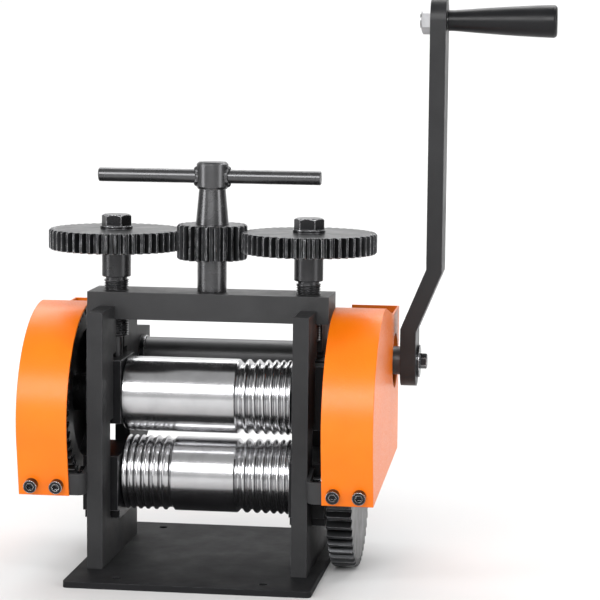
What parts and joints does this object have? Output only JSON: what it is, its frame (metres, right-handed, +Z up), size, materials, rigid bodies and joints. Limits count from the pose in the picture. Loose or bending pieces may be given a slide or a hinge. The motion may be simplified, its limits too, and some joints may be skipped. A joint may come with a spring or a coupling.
{
  "type": "jewellers rolling mill",
  "caption": "Hand cranked bench mill: two grooved steel rolls in side plates, geared crank at the back, covered spur gears, and a T key that turns both adjusting screws.",
  "frame": {"origin": "centre of the base plate's underside", "axes": "+X along the rolls towards the crank, -Y towards the front where the cover screws are, +Z up"},
  "size_m": [0.3294, 0.184, 0.368],
  "materials": {
    "frame_paint": "satin black paint",
    "gear_paint": "satin black paint",
    "crank_paint": "satin black paint",
    "key_paint": "satin black paint",
    "block_black": "blackened steel, bright where its edges are worn",
    "screw_black": "blackened steel",
    "dark_steel": "blackened steel",
    "roll_steel": "ground and polished hardened steel",
    "bronze": "machined bronze",
    "orange_paint": "orange powder coat with a fine orange-peel grain",
    "grip_plastic": "black moulded plastic",
    "plated_steel": "zinc plated"
  },
  "bodies": {
    "frame": {"base_plate": "frame_paint", "left_side_plate": "frame_paint", "right_side_plate": "frame_paint", "top_beam": "frame_paint", "base_screws": "dark_steel", "beam_set_screws": "dark_steel", "left_lower_block": "block_black", "right_lower_block": "block_black", "lower_bushes": "bronze", "lower_thrust_sleeve": "dark_steel", "shaft_bushes": "dark_steel", "idler_stud": "dark_steel", "idler_washer": "dark_steel", "idler_bolt": "dark_steel", "left_cover": "orange_paint", "right_cover": "orange_paint", "left_cover_bracket": "frame_paint", "right_cover_bracket": "frame_paint", "cover_screws": "dark_steel", "bracket_screws": "dark_steel"},
    "upper_carriage": {"left_upper_block": "block_black", "right_upper_block": "block_black", "upper_bushes": "bronze"},
    "upper_thrust_ring": {"upper_thrust_sleeve": "dark_steel"},
    "upper_roll": {"upper_roll": "roll_steel", "upper_roll_gear": "gear_paint", "upper_gear_key": "dark_steel", "upper_gear_washer": "dark_steel", "upper_gear_bolt": "dark_steel"},
    "lower_roll": {"lower_roll": "roll_steel", "lower_roll_gear": "gear_paint", "lower_gear_key": "dark_steel", "lower_gear_washer": "dark_steel", "lower_gear_bolt": "dark_steel"},
    "idler": {"idler_gear": "gear_paint", "idler_bush": "bronze"},
    "crank": {"crank_shaft": "crank_paint", "left_shaft_pinion": "gear_paint", "right_shaft_pinion": "gear_paint", "shaft_pinion_keys": "dark_steel", "pinion_spacers": "dark_steel", "shaft_end_bolt": "dark_steel", "crank_arm": "crank_paint", "crank_bolt": "dark_steel", "crank_washer": "dark_steel", "grip_spindle": "plated_steel", "grip_nut": "plated_steel"},
    "grip": {"grip": "grip_plastic"},
    "left_screw": {"left_screw": "screw_black", "left_disc_gear": "gear_paint", "left_screw_washer": "dark_steel", "left_screw_bolt": "dark_steel"},
    "right_screw": {"right_screw": "screw_black", "right_disc_gear": "gear_paint", "right_screw_washer": "dark_steel", "right_screw_bolt": "dark_steel"},
    "key": {"key_spindle": "key_paint", "key_collar": "key_paint", "key_pinion": "gear_paint", "key_bar": "key_paint"}
  },
  "joints": [
    {"name": "key_turn", "type": "hinge", "parent": "frame", "child": "key", "pos_m": [0, 0, 0.2], "axis": [0, 0, 1], "range_deg": [-481, 1633]},
    {"name": "roll_gap", "type": "slide", "parent": "frame", "child": "upper_carriage", "axis": [0, 0, 1], "range_m": [-0.0034, 0.001]},
    {"name": "left_screw_turn", "type": "hinge", "parent": "upper_carriage", "child": "left_screw", "pos_m": [-0.063, 0, 0.2], "axis": [0, 0, 1], "range_deg": [-817, 241]},
    {"name": "right_screw_turn", "type": "hinge", "parent": "upper_carriage", "child": "right_screw", "pos_m": [0.063, 0, 0.2], "axis": [0, 0, 1], "range_deg": [-817, 241]},
    {"name": "crank_turn", "type": "hinge", "parent": "frame", "child": "crank", "pos_m": [0, 0.069, 0.126], "axis": [1, 0, 0], "continuous": true},
    {"name": "idler_turn", "type": "hinge", "parent": "frame", "child": "idler", "pos_m": [0.0905, 0.05778, 0.09656], "axis": [1, 0, 0], "continuous": true},
    {"name": "lower_roll_turn", "type": "hinge", "parent": "frame", "child": "lower_roll", "pos_m": [0, 0, 0.0575], "axis": [1, 0, 0], "continuous": true},
    {"name": "mesh_shift", "type": "hinge", "parent": "upper_carriage", "child": "upper_thrust_ring", "pos_m": [-0.0805, 0, 0.1095], "axis": [1, 0, 0], "range_deg": [-1.31, 3.72]},
    {"name": "upper_roll_turn", "type": "hinge", "parent": "upper_thrust_ring", "child": "upper_roll", "pos_m": [0, 0, 0.1095], "axis": [1, 0, 0], "continuous": true},
    {"name": "grip_spin", "type": "hinge", "parent": "crank", "child": "grip", "pos_m": [0.18, 0.069, 0.353], "axis": [1, 0, 0], "continuous": true}
  ],
  "couplings": [
    {"joint": "key_turn", "follows": "roll_gap", "rad_per_m": -8377.6},
    {"joint": "left_screw_turn", "follows": "roll_gap", "rad_per_m": 4188.8},
    {"joint": "right_screw_turn", "follows": "roll_gap", "rad_per_m": 4188.8},
    {"joint": "mesh_shift", "follows": "roll_gap", "rad_per_m": -17.56},
    {"joint": "idler_turn", "follows": "crank_turn", "ratio": -1},
    {"joint": "lower_roll_turn", "follows": "crank_turn", "ratio": 0.29167},
    {"joint": "upper_roll_turn", "follows": "crank_turn", "ratio": -0.29167}
  ]
}
